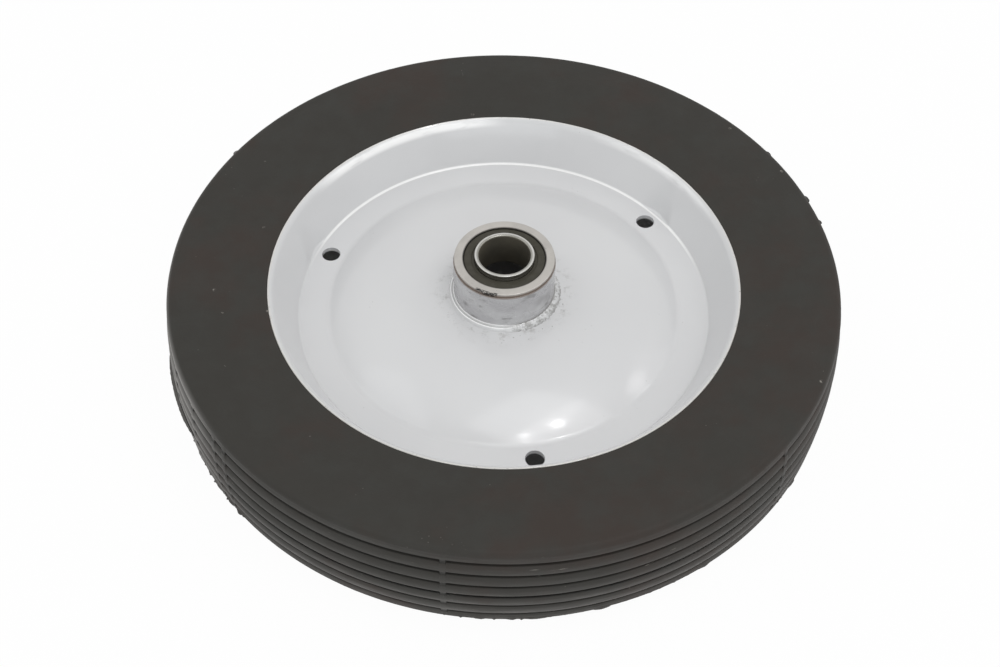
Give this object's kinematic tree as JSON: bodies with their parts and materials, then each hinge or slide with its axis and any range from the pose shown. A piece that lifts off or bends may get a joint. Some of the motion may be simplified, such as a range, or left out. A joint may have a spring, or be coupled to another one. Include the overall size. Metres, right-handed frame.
{
  "type": "wheel and tire",
  "caption": "Solid rubber tire with ribbed tread on a pressed steel disc wheel, with a welded hub tube and a flanged ball bearing at each end.",
  "frame": {"origin": "middle of the wheel on its axis, halfway between the two hub ends", "axes": "+Z along the axle's axis, out of the face shown in the picture; -Y towards the picture's lower edge; +X to its right"},
  "size_m": [0.254, 0.254, 0.0596],
  "materials": {
    "tire_rubber": "matte black rubber, faintly mottled, with moulding marks",
    "silver_paint": "glossy light silver grey enamel",
    "painted_weld": "rippled weld bead under thin silver enamel, with spatter",
    "bearing_steel": "bare steel, turned, with a warm film of oil",
    "ground_steel": "ground bright steel",
    "cage_steel": "pressed steel, satin",
    "seal_rubber": "smooth black rubber"
  },
  "bodies": {
    "wheel": {"tire": "tire_rubber", "front_disc": "silver_paint", "back_disc": "silver_paint", "hub_tube": "silver_paint", "front_weld": "painted_weld", "back_weld": "painted_weld", "front_outer_ring": "bearing_steel", "front_outer_seal": "seal_rubber", "front_inner_seal": "seal_rubber", "back_outer_ring": "bearing_steel", "back_outer_seal": "seal_rubber", "back_inner_seal": "seal_rubber"},
    "front_inner": {"front_inner_ring": "ground_steel"},
    "front_cage": {"front_balls": "ground_steel", "front_cage_outer_half": "cage_steel", "front_cage_inner_half": "cage_steel", "front_cage_rivets": "cage_steel"},
    "back_inner": {"back_inner_ring": "ground_steel"},
    "back_cage": {"back_balls": "ground_steel", "back_cage_outer_half": "cage_steel", "back_cage_inner_half": "cage_steel", "back_cage_rivets": "cage_steel"}
  },
  "joints": [
    {"name": "front_inner_spin", "type": "hinge", "parent": "wheel", "child": "front_inner", "pos_m": [0, 0, 0.0218], "axis": [0, 0, 1], "continuous": true},
    {"name": "front_cage_spin", "type": "hinge", "parent": "wheel", "child": "front_cage", "pos_m": [0, 0, 0.0218], "axis": [0, 0, 1], "continuous": true},
    {"name": "back_inner_spin", "type": "hinge", "parent": "wheel", "child": "back_inner", "pos_m": [0, 0, -0.0218], "axis": [0, 0, 1], "continuous": true},
    {"name": "back_cage_spin", "type": "hinge", "parent": "wheel", "child": "back_cage", "pos_m": [0, 0, -0.0218], "axis": [0, 0, 1], "continuous": true}
  ],
  "couplings": [
    {"joint": "front_cage_spin", "follows": "front_inner_spin", "ratio": 0.3956},
    {"joint": "back_cage_spin", "follows": "back_inner_spin", "ratio": 0.3956}
  ]
}
